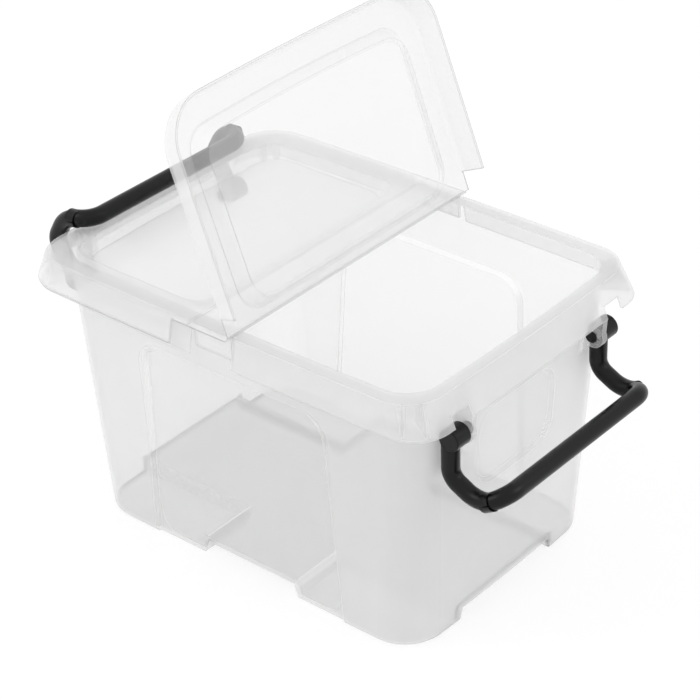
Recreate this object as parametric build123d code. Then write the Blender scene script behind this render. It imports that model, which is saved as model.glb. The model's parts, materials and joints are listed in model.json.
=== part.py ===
"""Portable file box: frosted tub, two-part folding lid and two bail handles.

Frame: origin at the centre of the tub on the plane of its feet, +X towards
the released handle, +Y to the back, +Z up.  Millimetres.
"""
import os
from math import atan, cos, radians, sin

from build123d import *

# tub shell
WALL = 2.2
TUB_H = 230.0
BASE_X = 162.5
BASE_Y = 113.0
BASE_R = 34.0
BASE_END_BOW = 3.0
BASE_SIDE_BOW = 1.0
TOP_X = 175.0
TOP_Y = 123.0
TOP_R = 30.0
TOP_END_BOW = 3.0
TOP_SIDE_BOW = 2.0
BOTTOM_EDGE_R = 4.0
BOTTOM_EDGE_STEPS = 3

# feet and the raised cross between them
FOOT_H = 12.0
CROSS_HALF_X = 47.4
CROSS_HALF_Y = 57.6
CROSS_SLANT = 3.0

# recessed panels of the long walls and hand recesses of the end walls
PANEL_DEPTH = 4.5
PANEL_HALF_BOTTOM = 96.0
PANEL_HALF_TOP = 87.0
PANEL_DROP = 46.0
PANEL_TOP = TUB_H - PANEL_DROP
PANEL_R = 22.0
HAND_DEPTH = 4.0
HAND_HALF = 46.0
HAND_H = 68.0
HAND_DROP = 48.0
HAND_TOP = TUB_H - HAND_DROP
HAND_BOTTOM = HAND_TOP - HAND_H
HAND_R = 20.0
POCKET_DRAFT = 2.5

# rim and its turned-down band
RIM_X = 182.5
RIM_Y = 133.0
RIM_R = 30.0
RIM_END_BOW = 2.0
RIM_SIDE_BOW = 2.0
RIM_T = 2.0
BAND_H = 24.0
BAND_BOTTOM = TUB_H - BAND_H
BAND_FLARE_X = 10.0
BAND_FLARE_Y = 5.0
BAND_GAP_HALF = 20.0
GAP_LIP_IN = 2.9
GAP_LIP_Y = RIM_Y - GAP_LIP_IN
RIB_T = 2.0
RIB_CLEAR = 2.0

# lid
LID_T = 2.2
LID_OVER_X = 4.0
LID_OVER_Y = 6.5
SKIRT_H = 18.0
SKIRT_BOTTOM = TUB_H - SKIRT_H
SKIRT_FLARE_X = 5.7
SKIRT_FLARE_Y = 4.0
SKIRT_T = 1.8
SKIRT_START = 34.0
LID_EDGE_R = 5.0
SEAT_GAP = 0.3
HINGE_X = 18.6
HINGE_GAP = 0.3
HINGE_RISE = 0.3
FILM_T = 0.5
GROOVE_W = 3.0
OPEN_ANGLE = 111.0

# sunk flat of each lid half
SUNK_DEPTH = 10.0
SUNK_HINGE_GAP = 8.4
SUNK_IN = HINGE_X + SUNK_HINGE_GAP
SUNK_END_GAP = 10.0
SUNK_OUT = TOP_X - SUNK_END_GAP
SUNK_BOW = 3.0
SUNK_SIDE_GAP = 8.0
SUNK_HALF_Y = TOP_Y - SUNK_SIDE_GAP
SUNK_R = 20.0
SUNK_SLOPE = 7.0
SUNK_T = 2.0

# end tabs of the centre strip
TAB_HALF = 17.5
TAB_T = 2.4
TAB_H = 19.0
TAB_BOTTOM = TUB_H - TAB_H
TAB_CLEAR = 0.4
CATCH_HALF = 6.0
CATCH_H = 4.0
CATCH_REACH = 1.4

# handle pivots, lugs and pins
PIVOT_X = 182.0
PIVOT_DROP = 39.5
PIVOT_Z = TUB_H - PIVOT_DROP
LUG_IN = 75.6
LUG_OUT = 81.0
LUG_R = 9.4
PIN_R = 4.0
PIN_FIT = 0.08
PIN_END = 73.2
PIN_HEAD_R = 4.8
PIN_HEAD_T = 2.0
EYE_GAP = 0.35
EYE_R = 8.6
EYE_OUT = 97.0
ARM_NOTCH_H = 9.0
ARM_NOTCH_OUT = 100.0

# handle rod, side profile measured outwards and downwards from the pivot
ROD_R = 6.8
ARM_Y = 89.5
LEG_IN = -3.5
LEG_DOWN = -34.0
KNEE_OUT = 22.0
KNEE_DOWN = -47.0
BAR_OUT = 40.6
BAR_DOWN = -36.0
ELBOW_R = 13.0
KNEE_R = 24.0
CORNER_R = 17.0
LATCH_ANGLE = 147.0

LID_TOP = TUB_H + LID_T
REACH = 400.0


def outline(z, half_x, half_y, end_bow, side_bow, corner):
    """Bowed rectangle with rounded corners at height z."""
    corner_x = half_x - end_bow
    corner_y = half_y - side_bow
    with BuildSketch(Plane.XY.offset(z)) as sketch:
        with BuildLine():
            ThreePointArc((-corner_x, -corner_y), (0, -half_y), (corner_x, -corner_y))
            ThreePointArc((corner_x, -corner_y), (half_x, 0), (corner_x, corner_y))
            ThreePointArc((corner_x, corner_y), (0, half_y), (-corner_x, corner_y))
            ThreePointArc((-corner_x, corner_y), (-half_x, 0), (-corner_x, -corner_y))
        make_face()
        fillet(sketch.vertices(), corner)
    return sketch.sketch


def wall_section(z, grow=0.0):
    """Outer section of the tub wall at height z, offset by grow."""
    t = z / TUB_H
    return outline(
        z,
        BASE_X + t * (TOP_X - BASE_X) + grow,
        BASE_Y + t * (TOP_Y - BASE_Y) + grow,
        BASE_END_BOW + t * (TOP_END_BOW - BASE_END_BOW),
        BASE_SIDE_BOW + t * (TOP_SIDE_BOW - BASE_SIDE_BOW),
        BASE_R + t * (TOP_R - BASE_R) + grow,
    )


def band_section(z, grow=0.0):
    """Outer section of the rim band at height z, offset by grow."""
    t = (TUB_H - z) / (TUB_H - BAND_BOTTOM)
    return outline(
        z,
        RIM_X + t * BAND_FLARE_X + grow,
        RIM_Y + t * BAND_FLARE_Y + grow,
        RIM_END_BOW,
        RIM_SIDE_BOW,
        RIM_R + grow,
    )


def lid_section(z, grow=0.0):
    """Outer section of the lid skirt at height z, offset by grow."""
    t = (LID_TOP - z) / (LID_TOP - SKIRT_BOTTOM)
    return outline(
        z,
        RIM_X + LID_OVER_X + t * SKIRT_FLARE_X + grow,
        RIM_Y + LID_OVER_Y + t * SKIRT_FLARE_Y + grow,
        RIM_END_BOW,
        RIM_SIDE_BOW,
        RIM_R + LID_OVER_Y + grow,
    )


def wall_body(bottom, top, grow):
    """Tapered tub body between two heights with a rounded bottom edge."""
    radius = BOTTOM_EDGE_R + grow
    sections = []
    for step in range(BOTTOM_EDGE_STEPS + 1):
        turn = radians(90 * step / BOTTOM_EDGE_STEPS)
        z = bottom + radius * (1 - cos(turn))
        sections.append(wall_section(z, grow - radius * (1 - sin(turn))))
    sections.append(wall_section(top, grow))
    return loft(sections, ruled=True)


def span(x0, x1, y0, y1, z0, z1):
    """Box between two corners."""
    box = Box(x1 - x0, y1 - y0, z1 - z0)
    return Pos((x0 + x1) / 2, (y0 + y1) / 2, (z0 + z1) / 2) * box


def wall_pocket(plane, half_low, half_high, low, high, radius, depth, grow):
    """Cutter for a recess sunk in a leaning wall; the plane's z points inwards."""
    def profile(offset, widen):
        level = plane.offset(offset)
        a = half_low + grow + widen
        b = half_high + grow + widen
        bottom = low - grow - widen
        top = high + grow + widen
        corners = [(-a, bottom), (a, bottom), (b, top), (-b, top)]
        with BuildSketch(level) as sketch:
            with BuildLine():
                Polyline(*corners, close=True)
            make_face()
            fillet(sketch.vertices(), radius)
        return sketch.sketch

    outside = 4 * depth
    return loft([
        profile(depth + grow, -POCKET_DRAFT),
        profile(-outside, POCKET_DRAFT * outside / depth),
    ])


def side_pocket(side, grow):
    lean = atan((TOP_Y - BASE_Y) / TUB_H)
    plane = Plane(
        origin=(0, side * BASE_Y, 0),
        x_dir=(side, 0, 0),
        z_dir=(0, -side * cos(lean), sin(lean)),
    )
    low = -3 * PANEL_R
    widen = (PANEL_HALF_BOTTOM - PANEL_HALF_TOP) * -low / PANEL_TOP
    return wall_pocket(
        plane, PANEL_HALF_BOTTOM + widen, PANEL_HALF_TOP, low, PANEL_TOP,
        PANEL_R, PANEL_DEPTH, grow,
    )


def hand_pocket(side, grow):
    lean = atan((TOP_X - BASE_X) / TUB_H)
    plane = Plane(
        origin=(side * BASE_X, 0, 0),
        x_dir=(0, -side, 0),
        z_dir=(-side * cos(lean), 0, sin(lean)),
    )
    return wall_pocket(
        plane, HAND_HALF, HAND_HALF, HAND_BOTTOM, HAND_TOP, HAND_R, HAND_DEPTH, grow,
    )


def cross_channel(grow):
    """Cutter that lifts the middle of the floor into a cross between four feet."""
    def bar(half_x, half_y, slant_x, slant_y):
        low = Plane.XY.offset(-FOOT_H) * Rectangle(
            2 * (half_x + grow + slant_x), 2 * (half_y + grow + slant_y))
        high = Plane.XY.offset(FOOT_H + grow) * Rectangle(
            2 * (half_x + grow - slant_x), 2 * (half_y + grow - slant_y))
        return loft([low, high])

    return (bar(CROSS_HALF_X, REACH, CROSS_SLANT, 0)
            + bar(REACH, CROSS_HALF_Y, 0, CROSS_SLANT))


def carved(body, grow):
    """Take the wall recesses and the cross channel out of a body."""
    for side in (-1, 1):
        body -= side_pocket(side, grow)
        body -= hand_pocket(side, grow)
    return body - cross_channel(grow)


def corner_ribs(inside_band):
    """Two upright ribs between wall and band in every corner."""
    centre_x = RIM_X - RIM_END_BOW - RIM_R
    centre_y = RIM_Y - RIM_SIDE_BOW - RIM_R
    ribs = []
    for sx in (-1, 1):
        for sy in (-1, 1):
            for angle in (33, 58):
                rib = Pos(RIM_R, 0, 0) * span(
                    -RIM_R / 2, RIM_R / 2, -RIB_T / 2, RIB_T / 2,
                    BAND_BOTTOM + RIB_CLEAR, TUB_H)
                turned = Rot(0, 0, angle) * rib
                placed = Pos(centre_x, centre_y, 0) * turned
                if sx < 0:
                    placed = placed.mirror(Plane.YZ)
                if sy < 0:
                    placed = placed.mirror(Plane.XZ)
                ribs.append(placed & inside_band)
    return ribs


def lugs(envelope):
    """Four upright plates on the end walls that carry the handle pins."""
    root = BASE_X - 2 * WALL
    with BuildSketch(Plane.XZ) as sketch:
        with BuildLine():
            Polyline(
                (root, PIVOT_Z - 3.6 * LUG_R),
                (PIVOT_X - 0.3 * LUG_R, PIVOT_Z - LUG_R),
                (PIVOT_X + 0.8 * LUG_R, PIVOT_Z - 0.6 * LUG_R),
                (PIVOT_X + LUG_R, BAND_BOTTOM),
                (PIVOT_X, TUB_H),
                (root, TUB_H),
                close=True,
            )
        make_face()
        with Locations((PIVOT_X, PIVOT_Z)):
            Circle(LUG_R)
    plate = extrude(sketch.sketch, amount=LUG_OUT - LUG_IN)
    front = (Pos(0, -LUG_IN, 0) * plate) & envelope
    pair = [front, front.mirror(Plane.XZ)]
    return pair + [plate.mirror(Plane.YZ) for plate in pair]


def arm_notch(y0, y1):
    """Cutter for the two notches in the band's lower edge where handle arms pass."""
    right = span(PIVOT_X, REACH, y0, y1, 0, BAND_BOTTOM + ARM_NOTCH_H)
    return right + right.mirror(Plane.YZ)


def make_tub():
    outer = carved(wall_body(0, TUB_H, 0), 0)
    cavity = carved(wall_body(WALL, TUB_H + WALL, -WALL), WALL)

    band = loft([band_section(TUB_H), band_section(BAND_BOTTOM)])
    inside = loft([band_section(TUB_H - RIM_T, -RIM_T), band_section(BAND_BOTTOM, -RIM_T)])
    below = span(-REACH, REACH, -REACH, REACH, 0, BAND_BOTTOM)
    rim = band - inside
    for side in (-1, 1):
        y0, y1 = sorted((side * GAP_LIP_Y, side * REACH))
        rim -= span(-BAND_GAP_HALF, BAND_GAP_HALF, y0, y1, 0, REACH)
        y0, y1 = sorted((side * LUG_OUT, side * ARM_NOTCH_OUT))
        rim -= arm_notch(y0, y1)
    tub = outer + rim
    for rib in corner_ribs(inside):
        tub += rib
    for lug in lugs(band + below):
        tub += lug
    tub -= cavity
    for side in (-1, 1):
        tub -= Pos(side * PIVOT_X, 0, PIVOT_Z) * Rot(90, 0, 0) * Cylinder(PIN_R + PIN_FIT, REACH)
    return tub


def sunk_flat(grow, top, bottom):
    """Solid of the sloped sunk flat in the right-hand lid half."""
    def profile(z, inset):
        half_y = SUNK_HALF_Y + grow - inset
        inner = SUNK_IN - grow + inset
        outer = SUNK_OUT + grow - inset
        with BuildSketch(Plane.XY.offset(z)) as sketch:
            with BuildLine():
                Polyline((outer - SUNK_BOW, half_y), (inner, half_y),
                         (inner, -half_y), (outer - SUNK_BOW, -half_y))
                ThreePointArc((outer - SUNK_BOW, -half_y), (outer, 0),
                              (outer - SUNK_BOW, half_y))
            make_face()
            fillet(sketch.vertices(), SUNK_R)
        return sketch.sketch

    return loft([profile(top, 0), profile(bottom, SUNK_SLOPE)])


def lid_cap(seat):
    """Flat-topped cap with a flared skirt whose plate ends at height seat."""
    outer = loft([lid_section(SKIRT_BOTTOM), lid_section(LID_TOP)])
    outer = fillet(outer.edges().group_by(Axis.Z)[-1], LID_EDGE_R)
    inner = loft([lid_section(SKIRT_BOTTOM, -SKIRT_T), lid_section(seat, -SKIRT_T)])
    inner = fillet(inner.edges().group_by(Axis.Z)[-1], LID_EDGE_R - SKIRT_T)
    cap = outer - inner
    return cap - span(-SKIRT_START, SKIRT_START, -REACH, REACH, 0, seat)


def with_sunk_flat(half, mirrored):
    """Press the sunk flat into one lid half."""
    floor = LID_TOP - SUNK_DEPTH
    shell = sunk_flat(SUNK_T, LID_TOP - LID_T / 2, floor - SUNK_T)
    hollow = sunk_flat(0, LID_TOP, floor)
    if mirrored:
        shell = shell.mirror(Plane.YZ)
        hollow = hollow.mirror(Plane.YZ)
    return half + shell - hollow


def end_tab(side):
    """Tab of the centre strip that drops through the band gap and hooks the rim lip."""
    inner = GAP_LIP_Y + TAB_CLEAR
    y0, y1 = sorted((side * inner, side * (inner + TAB_T)))
    tab = span(-TAB_HALF, TAB_HALF, y0, y1, TAB_BOTTOM, TUB_H)
    tip = side * (inner - CATCH_REACH)
    root = side * inner
    top = TUB_H - RIM_T - TAB_CLEAR
    with BuildSketch(Plane.YZ) as sketch:
        with BuildLine():
            Polyline((root, top), (tip, top), (root, top - CATCH_H), close=True)
        make_face()
    return tab + extrude(sketch.sketch, amount=CATCH_HALF, both=True)


def make_lid_fixed(cap):
    half = cap & span(-REACH, HINGE_X - HINGE_GAP, -REACH, REACH, 0, REACH)
    lid = with_sunk_flat(half, mirrored=True)
    lid += end_tab(-1)
    lid += end_tab(1)
    groove_depth = LID_T - FILM_T
    with BuildSketch(Plane.XZ) as sketch:
        with BuildLine():
            Polyline(
                (-HINGE_X - GROOVE_W / 2, LID_TOP),
                (-HINGE_X, LID_TOP - groove_depth),
                (-HINGE_X + GROOVE_W / 2, LID_TOP),
                close=True,
            )
        make_face()
    return lid - extrude(sketch.sketch, amount=REACH, both=True)


def make_lid_folding(cap):
    hinge = Axis((HINGE_X, 0, LID_TOP + HINGE_RISE), (0, -1, 0))
    half = cap & span(HINGE_X, REACH, -REACH, REACH, 0, REACH)
    return with_sunk_flat(half, mirrored=False).rotate(hinge, OPEN_ANGLE)


def rounded_path(points, radii):
    """Wire through points whose inner corners are rounded to the given radii."""
    edges = []
    start = Vector(*points[0])
    for before, corner, after, radius in zip(points, points[1:], points[2:], radii):
        corner = Vector(*corner)
        back = (Vector(*before) - corner).normalized()
        ahead = (Vector(*after) - corner).normalized()
        half = radians(back.get_angle(ahead)) / 2
        reach = radius * cos(half) / sin(half)
        bisector = (back + ahead).normalized()
        first = corner + back * reach
        last = corner + ahead * reach
        middle = corner + bisector * (radius / sin(half) - radius)
        edges.append(Line(start, first))
        edges.append(ThreePointArc(first, middle, last))
        start = last
    edges.append(Line(start, Vector(*points[-1])))
    return Wire(edges)


def make_handle():
    """Right-hand handle, hanging: bent rod, two eyes and two headed pins."""
    profile = [
        (LEG_IN, 0),
        (LEG_IN, LEG_DOWN),
        (KNEE_OUT, KNEE_DOWN),
        (BAR_OUT, BAR_DOWN),
    ]
    arm = [(PIVOT_X + u, PIVOT_Z + w) for u, w in profile]
    points = [(x, -ARM_Y, z) for x, z in arm] + [(x, ARM_Y, z) for x, z in reversed(arm)]
    radii = [ELBOW_R, KNEE_R, CORNER_R, CORNER_R, KNEE_R, ELBOW_R]
    path = rounded_path(points, radii)
    section = Plane(origin=points[0], z_dir=(0, 0, -1)) * Circle(ROD_R)
    handle = sweep(section, path=path)

    def turned(radius, y0, y1, edge):
        barrel = Cylinder(radius, y1 - y0)
        barrel = chamfer(barrel.edges().filter_by(GeomType.CIRCLE), edge)
        return Pos(PIVOT_X, (y0 + y1) / 2, PIVOT_Z) * Rot(90, 0, 0) * barrel

    eye = turned(EYE_R, LUG_OUT + EYE_GAP, EYE_OUT, 0.8)
    pin = turned(PIN_R, PIN_END, LUG_OUT + 1, 0.2)
    head = turned(PIN_HEAD_R, PIN_END, PIN_END + PIN_HEAD_T, 0.7)
    boss = eye + pin + head
    return handle + boss + boss.mirror(Plane.XZ)


def main():
    os.makedirs("parts", exist_ok=True)
    handle = make_handle()
    left_pivot = Axis((-PIVOT_X, 0, PIVOT_Z), (0, 1, 0))
    pieces = {
        "tub": make_tub(),
        "lid_fixed_half": make_lid_fixed(lid_cap(TUB_H)),
        "lid_folding_half": make_lid_folding(lid_cap(TUB_H + SEAT_GAP)),
        "handle_right": handle,
        "handle_left": handle.mirror(Plane.YZ).rotate(left_pivot, LATCH_ANGLE),
    }
    for name, piece in pieces.items():
        export_step(piece, f"parts/{name}.step")


main()
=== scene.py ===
"""Looks of the portable file box: frosted tub, clear folding lid and black bail handles."""
import json
import math

import bpy
from mathutils import Matrix, Vector


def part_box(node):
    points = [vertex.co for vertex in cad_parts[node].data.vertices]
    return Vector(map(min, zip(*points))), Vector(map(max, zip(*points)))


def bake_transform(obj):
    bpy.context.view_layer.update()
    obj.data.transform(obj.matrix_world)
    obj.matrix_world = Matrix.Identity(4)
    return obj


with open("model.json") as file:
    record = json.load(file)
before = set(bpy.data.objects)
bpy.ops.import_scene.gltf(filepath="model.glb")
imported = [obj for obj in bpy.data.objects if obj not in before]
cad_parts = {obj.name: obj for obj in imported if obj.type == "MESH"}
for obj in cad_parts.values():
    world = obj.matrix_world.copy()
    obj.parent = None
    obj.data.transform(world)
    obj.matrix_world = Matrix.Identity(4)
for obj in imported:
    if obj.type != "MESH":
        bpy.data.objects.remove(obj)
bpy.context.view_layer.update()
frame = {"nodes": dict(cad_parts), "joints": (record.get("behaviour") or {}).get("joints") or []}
MM = 0.001

# kinds of node that are used often; a Mix node's sockets go by number: 0 is the share, 2 and 3 take values,
# and 6 and 7 take colours
MATH = "ShaderNodeMath"
VECTOR = "ShaderNodeVectorMath"
RANGE = "ShaderNodeMapRange"
MIX = "ShaderNodeMix"
NOISE = "ShaderNodeTexNoise"

# where the camera stands, in degrees and metres, and its lens and sensor in millimetres
CAMERA_TURN = 40.44
CAMERA_RISE = 31.80
CAMERA_ROLL = -1.73
CAMERA_PLACE = (0.9998, -1.1510, 1.0927)
LENS = 121.15
SENSOR = 36
SHIFT_X = -0.0076

# even white light all round, two soft lamps (name, place, size, watts), how white the paper is by itself, and
# enough passes for a view through every clear wall of the box
WORLD_LIGHT = 0.93
LAMP_TARGET = (0, 0, 0.15)
LAMPS = (
    ("key", (-0.9, -1.4, 1.9), 1.4, 11),
    ("fill", (1.6, 0.6, 1.4), 1.2, 5),
)
PAPER_WHITE = 0.8
PAPER_SIZE = 12
CLEAR_PASSES = 48

# moulded polypropylene: refraction, the spacing of its flow marks, and its mould grain, which is finer in
# truth and drawn as coarse as it needs to show
PLASTIC_IOR = 1.49
FLOW_SPACING = 60 * MM
LID_GRAIN = 0.8 * MM
TUB_GRAIN = 0.5 * MM
HANDLE_GRAIN = 0.6 * MM

# moulded edges: how far their rounding and the light and shade painted along them reach, drawn as wide as it
# needs to show, and how much the surface turns between plain face and full edge, as the cosine of the turn
EDGE_REACH = 1.2 * MM
FILM_EDGE_REACH = 0.05 * MM
EDGE_SAMPLES = 6
PLAIN_TURN = 0.99
EDGE_TURN = 0.85

# how dense the plastics look: the lid and its film face on and along the surface, then the parts of the tub
LID_DENSITY = (0.19, 0.62)
FILM_DENSITY = (0.08, 0.3)
WALL_OUTSIDE = 0.30
WALL_INSIDE = 0.14
PANEL_OUTSIDE = 0.20
PANEL_INSIDE = 0.10
WALL_ALONG = 0.55
LEDGE_DENSITY = 0.11
FLOOR_DENSITY = 0.41
STEP_DENSITY = 0.36
LINE_DENSITY = 0.55

# the living hinge of the raised half, from the frame's own joint, and the film that bridges it
lid_fold = next(joint for joint in frame["joints"] if joint["name"] == "lid_fold")
HINGE_X, _, HINGE_Z = lid_fold["pos_m"]
OPEN_ANGLE = -lid_fold["range_deg"][0]
HINGE_RISE = 0.3 * MM
LID_TOP = HINGE_Z - HINGE_RISE
FILM_WIDTH = 4 * MM
FILM_T = 0.25 * MM
FILM_LIFT = 0.2 * MM
FILM_END_GAP = 8 * MM
FILM_COLUMNS = 12
FILM_ROWS = 24

# faces of the tub: the upright part of a normal from which a face is partly and wholly level, and how far
# inwards an inner face looks
PARTLY_LEVEL = 0.3
WHOLLY_LEVEL = 0.6
INWARD = -20 * MM

# the tub's floor: outline, height of its upper face, steps at the raised cross with a painted highlight along
# the upper edge of each foot's step, painted shadow where the floor meets each end wall, and the spacing of
# its spark-eroded specks
FLOOR_HALF = (161 * MM, 111 * MM, 0)
FLOOR_CORNER = 33 * MM
FLOOR_TOP = 15 * MM
CROSS_HALF_X = 47.4 * MM
CROSS_HALF_Y = 57.6 * MM
STEP_HALF = 3 * MM
STEP_END = 107 * MM
# where the painted highlight along each foot's step lies, and its half width
STEP_HIGHLIGHT_X = CROSS_HALF_X - 1 * MM
STEP_HIGHLIGHT_HALF = 1.6 * MM
# where the painted shadow at each end of the floor starts and where it is full
SEAM_SHADOW_START = 156 * MM
SEAM_SHADOW_END = 159 * MM
SPECK_SPACING = 5 * MM

# the clear panels of the long walls, and the ledge over each
PANEL_HALF = 92 * MM
PANEL_CORNER = 22 * MM
PANEL_TOP = 184 * MM
LEDGE_HALF = (93 * MM, 0, 6 * MM)
LEDGE_CORNER = 5 * MM


def linear(code):
    """sRGB hex colour as linear RGBA."""
    values = [int(code[i:i + 2], 16) / 255 for i in (1, 3, 5)]
    return [v / 12.92 if v <= 0.04045 else ((v + 0.055) / 1.055) ** 2.4 for v in values] + [1]


def add_node(tree, kind, settings=None, inputs=None):
    """Add one node and set its properties. An input is a socket to link, a hex colour or a plain value."""
    node = tree.nodes.new(kind)
    for name, value in (settings or {}).items():
        setattr(node, name, value)
    for name, value in (inputs or {}).items():
        if isinstance(value, bpy.types.NodeSocket):
            tree.links.new(value, node.inputs[name])
        else:
            node.inputs[name].default_value = linear(value) if isinstance(value, str) else value
    return node


def blank_material(name):
    material = bpy.data.materials.new(name)
    material.use_nodes = True
    material.node_tree.nodes.clear()
    return material, material.node_tree


def rounded_patch(tree, place, middle, half, corner, soft=1 * MM):
    """1 inside a rounded rectangle of the given half sizes about middle, 0 outside; a half size of 0 leaves
    that direction free."""
    used = tuple(1 if size else 0 for size in half)
    flat = add_node(tree, VECTOR, {"operation": "MULTIPLY_ADD"},
                    {0: place, 1: used, 2: tuple(-m * u for m, u in zip(middle, used))})
    folded = add_node(tree, VECTOR, {"operation": "ABSOLUTE"}, {0: flat.outputs[0]})
    over = add_node(tree, VECTOR, {"operation": "SUBTRACT"},
                    {0: folded.outputs[0], 1: tuple(max(size - corner, 0) for size in half)})
    outside = add_node(tree, VECTOR, {"operation": "MAXIMUM"}, {0: over.outputs[0], 1: (0, 0, 0)})
    distance = add_node(tree, VECTOR, {"operation": "LENGTH"}, {0: outside.outputs[0]})
    return add_node(tree, RANGE, {}, {
        "Value": distance.outputs["Value"], "From Min": corner + soft, "From Max": corner - soft,
    }).outputs["Result"]


def milky_polypropylene(name, colour, shade, edge_colour, grain, roughness, edge_reach=EDGE_REACH):
    """Injection-moulded polypropylene with a natural milky tint: slow flow marks vary the tint, fine mould
    grain softens the gloss, and edges show the small radius that the mould leaves on them, with the edge
    colour
    painted along them: a painted highlight on the tub and painted shade on the lid. Gives the material, its
    shader, its tint with the painted edges, and how far each point is seen along the surface or lies at an
    edge."""
    material, tree = blank_material(name)
    place = add_node(tree, "ShaderNodeTexCoord").outputs["Object"]
    flow = add_node(tree, NOISE, {}, {
        "Vector": place, "Scale": 1 / FLOW_SPACING, "Detail": 2.0, "Distortion": 0.6})
    rounded = add_node(tree, "ShaderNodeBevel", {"samples": EDGE_SAMPLES}, {"Radius": edge_reach})
    straight = add_node(tree, "ShaderNodeNewGeometry")
    turned = add_node(tree, VECTOR, {"operation": "DOT_PRODUCT"},
                      {0: rounded.outputs["Normal"], 1: straight.outputs["Normal"]})
    edge = add_node(tree, RANGE, {}, {
        "Value": turned.outputs["Value"], "From Min": PLAIN_TURN, "From Max": EDGE_TURN}).outputs["Result"]
    milky = add_node(tree, MIX, {"data_type": "RGBA"}, {0: flow.outputs["Fac"], 6: shade, 7: colour})
    # the edge colour painted along the edges: a painted highlight on the tub, painted shade on the lid
    tint = add_node(tree, MIX, {"data_type": "RGBA"}, {0: edge, 6: milky.outputs[2], 7: edge_colour})
    fine = add_node(tree, NOISE, {}, {"Vector": place, "Scale": 1 / grain, "Detail": 3.0})
    bump = add_node(tree, "ShaderNodeBump", {}, {
        "Strength": 0.08, "Distance": 0.2 * MM, "Height": fine.outputs["Fac"],
        "Normal": rounded.outputs["Normal"]})
    slant = add_node(tree, "ShaderNodeLayerWeight", {}, {"Blend": 0.25, "Normal": rounded.outputs["Normal"]})
    along = add_node(tree, MATH, {"operation": "MAXIMUM"}, {0: slant.outputs["Facing"], 1: edge})
    shader = add_node(tree, "ShaderNodeBsdfPrincipled", {}, {
        "Base Color": tint.outputs[2], "Roughness": roughness, "IOR": PLASTIC_IOR,
        "Normal": bump.outputs["Normal"]})
    add_node(tree, "ShaderNodeOutputMaterial", {}, {"Surface": shader.outputs["BSDF"]})
    return material, shader, tint.outputs[2], along.outputs[0]


def clear_lid_grade(density, **look):
    """Glossier, clear grade of polypropylene that turns cloudier where it is seen along its surface."""
    material, shader, _, along = milky_polypropylene(grain=LID_GRAIN, roughness=0.2, **look)
    tree = material.node_tree
    face_on, seen_along = density
    cloudy = add_node(tree, MIX, {}, {0: along, 2: face_on, 3: seen_along})
    tree.links.new(cloudy.outputs[0], shader.inputs["Alpha"])
    return material


def lid_polypropylene():
    """The lid's moulding: clear flats, and grey painted shade along its edges."""
    return clear_lid_grade(LID_DENSITY, name="clear_lid_polypropylene",
                           # grey edge colour: painted shade along the lid's edges
                           colour="#efefef", shade="#e9e9e9", edge_colour="#a8a8a8")


def film_polypropylene():
    """The same grade drawn out to a thin film: clearer still, and without rounded edges."""
    return clear_lid_grade(FILM_DENSITY, name="drawn_polypropylene_film", edge_reach=FILM_EDGE_REACH,
                           colour="#f2f2f2", shade="#ececec", edge_colour="#f2f2f2")


def tub_walls(tree, place, normal, level, along):
    """How dense the tub's walls are, and where their inner faces are, which tub_polypropylene also paints
    lighter
    as painted light: the inner faces are clearer, the panels of the long walls are polished, and the ledge
    over each panel is clearer still."""
    sideways = add_node(tree, VECTOR, {"operation": "MULTIPLY"}, {0: place, 1: (1, 1, 0)})
    outward = add_node(tree, VECTOR, {"operation": "DOT_PRODUCT"}, {0: sideways.outputs[0], 1: normal})
    inside = add_node(tree, RANGE, {}, {
        "Value": outward.outputs["Value"], "From Min": 0.0, "From Max": INWARD}).outputs["Result"]

    half_top = PANEL_TOP / 2
    panel = rounded_patch(tree, place, (0, 0, half_top), (PANEL_HALF, 0, half_top), PANEL_CORNER)
    outer = add_node(tree, MIX, {}, {0: panel, 2: WALL_OUTSIDE, 3: PANEL_OUTSIDE})
    inner = add_node(tree, MIX, {}, {0: panel, 2: WALL_INSIDE, 3: PANEL_INSIDE})
    face_on = add_node(tree, MIX, {}, {0: inside, 2: outer.outputs[0], 3: inner.outputs[0]})
    wall = add_node(tree, MIX, {}, {0: along, 2: face_on.outputs[0], 3: WALL_ALONG})

    above_panel = rounded_patch(tree, place, (0, 0, PANEL_TOP), LEDGE_HALF, LEDGE_CORNER)
    ledge = add_node(tree, MATH, {"operation": "MULTIPLY"}, {0: above_panel, 1: level})
    density = add_node(tree, MIX, {}, {0: ledge.outputs[0], 2: wall.outputs[0], 3: LEDGE_DENSITY})
    return density.outputs[0], inside


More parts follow.
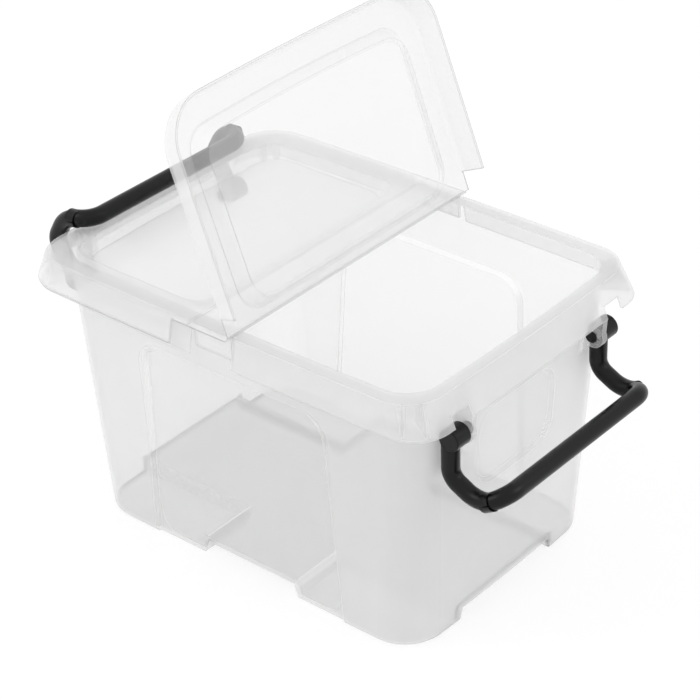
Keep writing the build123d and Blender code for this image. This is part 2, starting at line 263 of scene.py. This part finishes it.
def tub_floor(tree, place, level):
    """Where the tub's floor is, its colour and its density: grey specks, a painted highlight along the upper
    edge of each foot's step, and painted shadow where the floor meets each end wall."""
    height = add_node(tree, "ShaderNodeSeparateXYZ", {}, {"Vector": place}).outputs["Z"]
    folded = add_node(tree, VECTOR, {"operation": "ABSOLUTE"}, {0: place}).outputs[0]
    reach = add_node(tree, "ShaderNodeSeparateXYZ", {}, {"Vector": folded})

    step_x = rounded_patch(tree, folded, (CROSS_HALF_X, 0, 0), (STEP_HALF, STEP_END, 0), corner=1 * MM)
    step_y = rounded_patch(tree, folded, (0, CROSS_HALF_Y, 0), (0, STEP_HALF, 0), corner=1 * MM)
    step = add_node(tree, MATH, {"operation": "MAXIMUM"}, {0: step_x, 1: step_y})
    part = add_node(tree, MATH, {"operation": "MAXIMUM"}, {0: step.outputs[0], 1: level})
    low = add_node(tree, RANGE, {}, {
        "Value": height, "From Min": FLOOR_TOP + 1 * MM, "From Max": FLOOR_TOP}).outputs["Result"]
    low_part = add_node(tree, MATH, {"operation": "MULTIPLY"}, {0: low, 1: part.outputs[0]})
    outline = rounded_patch(tree, place, (0, 0, 0), FLOOR_HALF, FLOOR_CORNER)
    ground = add_node(tree, MATH, {"operation": "MULTIPLY"}, {0: low_part.outputs[0], 1: outline})

    # painted highlight along the upper edge of each foot's step
    foot_side = add_node(tree, RANGE, {}, {
        "Value": reach.outputs["Y"], "From Min": CROSS_HALF_Y - 1 * MM, "From Max": CROSS_HALF_Y})
    strip = rounded_patch(tree, folded, (STEP_HIGHLIGHT_X, 0, 0), (STEP_HIGHLIGHT_HALF, STEP_END, 0),
                          corner=0.5 * MM, soft=0.5 * MM)
    line = add_node(tree, MATH, {"operation": "MULTIPLY"}, {0: foot_side.outputs["Result"], 1: strip})
    # painted shadow where the floor meets each end wall
    seam_shadow = add_node(tree, RANGE, {}, {
        "Value": reach.outputs["X"], "From Min": SEAM_SHADOW_START, "From Max": SEAM_SHADOW_END}).outputs["Result"]

    speck = add_node(tree, NOISE, {}, {
        "Vector": place, "Scale": 1 / SPECK_SPACING, "Detail": 4.0, "Roughness": 0.7})
    grey = add_node(tree, MIX, {"data_type": "RGBA"}, {0: speck.outputs["Fac"], 6: "#a8a8a8", 7: "#dcdcdc"})
    lined = add_node(tree, MIX, {"data_type": "RGBA"}, {0: line.outputs[0], 6: grey.outputs[2], 7: "#fafafa"})
    colour = add_node(tree, MIX, {"data_type": "RGBA"}, {0: seam_shadow, 6: lined.outputs[2], 7: "#868686"})
    plain = add_node(tree, MIX, {}, {0: level, 2: STEP_DENSITY, 3: FLOOR_DENSITY})
    marked = add_node(tree, MATH, {"operation": "MAXIMUM"}, {0: line.outputs[0], 1: seam_shadow})
    density = add_node(tree, MIX, {}, {0: marked.outputs[0], 2: plain.outputs[0], 3: LINE_DENSITY})
    return ground.outputs[0], colour.outputs[2], density.outputs[0]


def tub_polypropylene():
    """Frosted tub grade: milky walls with a painted highlight along their edges and painted light on their
    inner faces, and a spark-eroded floor that is greyer, denser and speckled.
    """
    # near-white edge colour: a painted highlight along the tub's rounded edges
    material, shader, tint, along = milky_polypropylene(
        "frosted_polypropylene", colour="#e2e2e2", shade="#dcdcdc", edge_colour="#fafafa",
        grain=TUB_GRAIN, roughness=0.3)
    tree = material.node_tree
    place = add_node(tree, "ShaderNodeTexCoord").outputs["Object"]
    normal = add_node(tree, "ShaderNodeNewGeometry").outputs["True Normal"]
    unsigned = add_node(tree, VECTOR, {"operation": "ABSOLUTE"}, {0: normal})
    upright = add_node(tree, "ShaderNodeSeparateXYZ", {}, {"Vector": unsigned.outputs[0]})
    level = add_node(tree, RANGE, {}, {
        "Value": upright.outputs["Z"], "From Min": PARTLY_LEVEL, "From Max": WHOLLY_LEVEL}).outputs["Result"]

    wall_density, inside = tub_walls(tree, place, normal, level, along)
    ground, floor_colour, floor_density = tub_floor(tree, place, level)
    # inner faces painted lighter: painted light for the brighter inside of the tub
    wall_colour_with_painted_light = add_node(tree, MIX, {"data_type": "RGBA"}, {0: inside, 6: tint, 7: "#f4f4f4"})
    colour = add_node(tree, MIX, {"data_type": "RGBA"},
                      {0: ground, 6: wall_colour_with_painted_light.outputs[2], 7: floor_colour})
    density = add_node(tree, MIX, {}, {0: ground, 2: wall_density, 3: floor_density})
    tree.links.new(colour.outputs[2], shader.inputs["Base Color"])
    tree.links.new(density.outputs[0], shader.inputs["Alpha"])
    return material


def black_handle_plastic():
    """Moulded black polypropylene: dark and smooth, with soft broad highlights."""
    material, tree = blank_material("moulded_black_polypropylene")
    place = add_node(tree, "ShaderNodeTexCoord").outputs["Object"]
    fine = add_node(tree, NOISE, {}, {"Vector": place, "Scale": 1 / HANDLE_GRAIN, "Detail": 4.0})
    bump = add_node(tree, "ShaderNodeBump", {}, {
        "Strength": 0.1, "Distance": 0.05 * MM, "Height": fine.outputs["Fac"]})
    shader = add_node(tree, "ShaderNodeBsdfPrincipled", {}, {
        "Base Color": "#060607", "Roughness": 0.3, "IOR": PLASTIC_IOR, "Specular IOR Level": 0.26,
        "Normal": bump.outputs["Normal"]})
    add_node(tree, "ShaderNodeOutputMaterial", {}, {"Surface": shader.outputs["BSDF"]})
    return material


def seen_directly(tree):
    """1 on rays from the camera, off a gloss or through clear plastic, 0 on the rays that carry light."""
    path = add_node(tree, "ShaderNodeLightPath")
    through = add_node(tree, MATH, {"operation": "MAXIMUM"}, {
        0: path.outputs["Is Camera Ray"], 1: path.outputs["Is Transmission Ray"]})
    return add_node(tree, MATH, {"operation": "MAXIMUM"}, {
        0: through.outputs[0], 1: path.outputs["Is Glossy Ray"]}).outputs[0]


def dress(material, *nodes):
    for node in nodes:
        piece = frame["nodes"][node]
        piece.data.materials.clear()
        piece.data.materials.append(material)


def studio_paper():
    """Matt white studio paper: bright where the camera sees it, with a soft trace of the box's shadow."""
    material, tree = blank_material("studio_paper")
    paper = add_node(tree, "ShaderNodeBsdfDiffuse", {}, {"Color": "#ffffff"})
    white = add_node(tree, "ShaderNodeEmission", {}, {"Color": "#ffffff", "Strength": 1.0})
    share = add_node(tree, MATH, {"operation": "MULTIPLY"}, {0: seen_directly(tree), 1: PAPER_WHITE})
    mix = add_node(tree, "ShaderNodeMixShader", {}, {
        0: share.outputs[0], 1: paper.outputs["BSDF"], 2: white.outputs["Emission"]})
    add_node(tree, "ShaderNodeOutputMaterial", {}, {"Surface": mix.outputs["Shader"]})
    return material


def studio():
    bpy.ops.object.select_all(action="DESELECT")
    bpy.ops.mesh.primitive_plane_add(size=PAPER_SIZE, location=(0, 0, 0))
    floor = bpy.context.object
    floor.name = "studio_floor"
    floor.data.materials.append(studio_paper())

    world = bpy.data.worlds.new("studio")
    bpy.context.scene.world = world
    world.use_nodes = True
    tree = world.node_tree
    tree.nodes.clear()
    light = add_node(tree, "ShaderNodeBackground", {}, {"Color": "#ffffff", "Strength": WORLD_LIGHT})
    white = add_node(tree, "ShaderNodeBackground", {}, {"Color": "#ffffff", "Strength": 1.0})
    mix = add_node(tree, "ShaderNodeMixShader", {}, {
        0: seen_directly(tree), 1: light.outputs["Background"], 2: white.outputs["Background"]})
    add_node(tree, "ShaderNodeOutputWorld", {}, {"Surface": mix.outputs["Shader"]})


def soft_lamp(name, place, size, power):
    lamp = bpy.data.lights.new(name, "AREA")
    lamp.shape = "DISK"
    lamp.size = size
    lamp.energy = power
    holder = bpy.data.objects.new(name, lamp)
    holder.location = place
    holder.rotation_euler = (Vector(LAMP_TARGET) - Vector(place)).to_track_quat("-Z", "Y").to_euler()
    bpy.context.scene.collection.objects.link(holder)


def camera():
    turn = math.radians(CAMERA_TURN)
    rise = math.radians(CAMERA_RISE)
    roll = math.radians(CAMERA_ROLL)
    back = Vector((math.sin(turn) * math.cos(rise), -math.cos(turn) * math.cos(rise), math.sin(rise)))
    right = Vector((math.cos(turn), math.sin(turn), 0))
    up = back.cross(right)
    side = right * math.cos(roll) + up * math.sin(roll)
    top = up * math.cos(roll) - right * math.sin(roll)
    eye = bpy.data.cameras.new("camera")
    eye.lens = LENS
    eye.sensor_width = SENSOR
    eye.shift_x = SHIFT_X
    holder = bpy.data.objects.new("camera", eye)
    holder.matrix_world = Matrix((side, top, back)).transposed().to_4x4()
    holder.location = CAMERA_PLACE
    bpy.context.scene.collection.objects.link(holder)
    bpy.context.scene.camera = holder


def hinge_film():
    """Living hinge of the raised half: a thin strip of the lid's own plastic, bent over the slit."""
    bpy.ops.object.select_all(action="DESELECT")
    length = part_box("lid_folding_half")[1].y * 2 - 2 * FILM_END_GAP
    bpy.ops.mesh.primitive_grid_add(x_subdivisions=FILM_COLUMNS, y_subdivisions=FILM_ROWS, size=1,
                                    location=(HINGE_X, 0, LID_TOP + FILM_LIFT))
    film = bpy.context.object
    film.name = "hinge_film"
    bpy.ops.object.mode_set(mode="EDIT")
    bpy.ops.mesh.select_all(action="SELECT")
    bpy.ops.transform.resize(value=(FILM_WIDTH, length, 1))
    bpy.ops.mesh.select_all(action="DESELECT")
    bpy.ops.object.mode_set(mode="OBJECT")
    bpy.ops.object.transform_apply(location=True, rotation=True, scale=True)
    half_column = FILM_WIDTH / FILM_COLUMNS / 2
    for vertex in film.data.vertices:
        vertex.select = vertex.co.x > HINGE_X + half_column
    bpy.ops.object.mode_set(mode="EDIT")
    bpy.ops.transform.rotate(value=math.radians(OPEN_ANGLE), orient_axis="Y",
                             center_override=(HINGE_X, 0, HINGE_Z))
    bpy.ops.object.mode_set(mode="OBJECT")
    wall = film.modifiers.new("wall", "SOLIDIFY")
    wall.thickness = FILM_T
    wall.offset = 0
    bpy.ops.object.modifier_apply(modifier="wall")
    film.data.materials.append(film_polypropylene())
    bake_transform(film)


dress(tub_polypropylene(), "tub")
dress(lid_polypropylene(), "lid_fixed_half", "lid_folding_half")
dress(black_handle_plastic(), "handle_left", "handle_right")
hinge_film()

studio()
for lamp_name, lamp_place, lamp_size, lamp_power in LAMPS:
    soft_lamp(lamp_name, lamp_place, lamp_size, lamp_power)
camera()
bpy.context.scene.view_settings.view_transform = "Standard"
bpy.context.scene.cycles.transparent_max_bounces = CLEAR_PASSES
